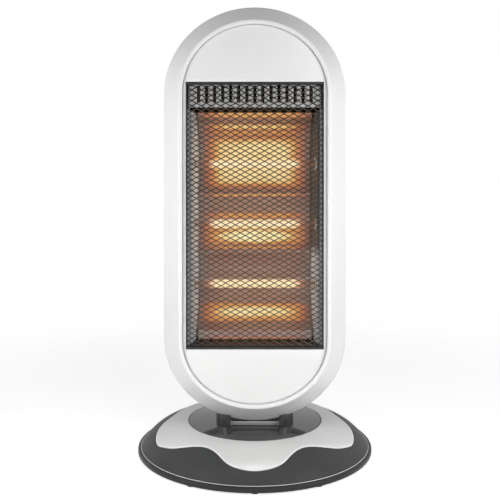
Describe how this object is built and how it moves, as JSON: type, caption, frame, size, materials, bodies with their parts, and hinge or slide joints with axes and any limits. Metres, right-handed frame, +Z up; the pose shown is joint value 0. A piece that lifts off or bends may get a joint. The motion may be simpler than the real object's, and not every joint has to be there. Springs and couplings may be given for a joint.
{
  "type": "halogen heater",
  "caption": "Upright oscillating halogen heater: stadium-shaped head with mesh-covered glowing lamps before a troughed reflector, on a round domed swivel base.",
  "frame": {"origin": "on the floor under the centre of the round base, which is the swing axis", "axes": "+Z up, front of the heater faces -Y, +X to the right of someone who looks at its front"},
  "size_m": [0.278, 0.278, 0.5215],
  "materials": {
    "silver_front": "satin silver-white paint",
    "silver_trim": "satin silver-white paint",
    "base_grey": "semi-gloss dark grey",
    "base_black": "matt black moulding",
    "disc_grey": "semi-gloss mid grey",
    "neck_black": "glossy near-black",
    "rear_grey": "fine-textured grey",
    "rear_black": "matt black",
    "rocker_black": "semi-gloss black",
    "window_black": "satin black enamel",
    "grille_black": "black enamelled wire mesh",
    "vent_steel": "grey sheet steel",
    "reflector_steel": "bright polished reflector sheet",
    "zinc_steel": "zinc plated",
    "lamp_quartz": "clear quartz tube",
    "lamp_filament": "glowing tungsten coil",
    "ceramic": "unglazed ceramic",
    "white_plastic": "natural white moulding"
  },
  "bodies": {
    "base": {"base_plate": "base_black", "base_shell": "base_grey", "base_trim": "silver_trim", "cord_gland": "base_black", "terminal_block": "white_plastic", "swing_motor": "zinc_steel", "tip_switch_body": "base_black", "pivot_bush": "white_plastic", "base_screw_1": "zinc_steel", "base_screw_2": "zinc_steel", "base_screw_3": "zinc_steel"},
    "head": {"swivel_disc": "disc_grey", "pivot_tube": "zinc_steel", "swing_lever": "zinc_steel", "tube_nut": "zinc_steel", "neck_column": "neck_black", "front_ring": "silver_front", "front_panel": "silver_front", "window_frame": "window_black", "grille": "grille_black", "vent_plate": "vent_steel", "reflector": "reflector_steel", "side_shield_left": "reflector_steel", "side_shield_right": "reflector_steel", "top_shield": "window_black", "bottom_shield": "reflector_steel", "heat_shield": "zinc_steel", "lamp_tube_1": "lamp_quartz", "filament_1": "lamp_filament", "lamp_cap_left_1": "ceramic", "lamp_cap_right_1": "ceramic", "lamp_tube_2": "lamp_quartz", "filament_2": "lamp_filament", "lamp_cap_left_2": "ceramic", "lamp_cap_right_2": "ceramic", "lamp_tube_3": "lamp_quartz", "filament_3": "lamp_filament", "lamp_cap_left_3": "ceramic", "lamp_cap_right_3": "ceramic", "lamp_bracket_left": "zinc_steel", "lamp_bracket_right": "zinc_steel", "thermal_cutout": "base_black", "rear_shell": "rear_grey", "hand_hold": "rear_black", "switch_plate": "rear_black", "rear_screw_1": "zinc_steel", "rear_screw_2": "zinc_steel", "rear_screw_3": "zinc_steel", "rear_screw_4": "zinc_steel"},
    "crank": {"crank": "white_plastic"},
    "drive_link": {"drive_link": "white_plastic"},
    "tip_plunger": {"tip_plunger": "white_plastic"},
    "rocker_1": {"rocker_1": "rocker_black"},
    "rocker_2": {"rocker_2": "rocker_black"},
    "rocker_3": {"rocker_3": "rocker_black"}
  },
  "joints": [
    {"name": "head_swing", "type": "hinge", "parent": "base", "child": "head", "pos_m": [0, 0, 0.0328], "axis": [0, 0, 1], "range_deg": [-35, 35]},
    {"name": "crank_turn", "type": "hinge", "parent": "base", "child": "crank", "pos_m": [-0.066, 0.026, 0.0208], "axis": [0, 0, 1], "continuous": true},
    {"name": "link_pivot", "type": "hinge", "parent": "head", "child": "drive_link", "pos_m": [0, 0.026, 0.0235], "axis": [0, 0, 1], "range_deg": [-35, 35]},
    {"name": "plunger_slide", "type": "slide", "parent": "base", "child": "tip_plunger", "axis": [0, 0, -1], "range_m": [0, 0.004], "stiffness_N_per_m": 100, "springref_m": 0.006},
    {"name": "rocker_tilt_1", "type": "hinge", "parent": "head", "child": "rocker_1", "pos_m": [-0.024, 0.057, 0.172], "axis": [-1, 0, 0], "range_deg": [0, 16]},
    {"name": "rocker_tilt_2", "type": "hinge", "parent": "head", "child": "rocker_2", "pos_m": [0, 0.057, 0.172], "axis": [-1, 0, 0], "range_deg": [0, 16]},
    {"name": "rocker_tilt_3", "type": "hinge", "parent": "head", "child": "rocker_3", "pos_m": [0.024, 0.057, 0.172], "axis": [-1, 0, 0], "range_deg": [0, 16]}
  ],
  "couplings": [
    {"joint": "link_pivot", "follows": "head_swing", "ratio": -1}
  ]
}
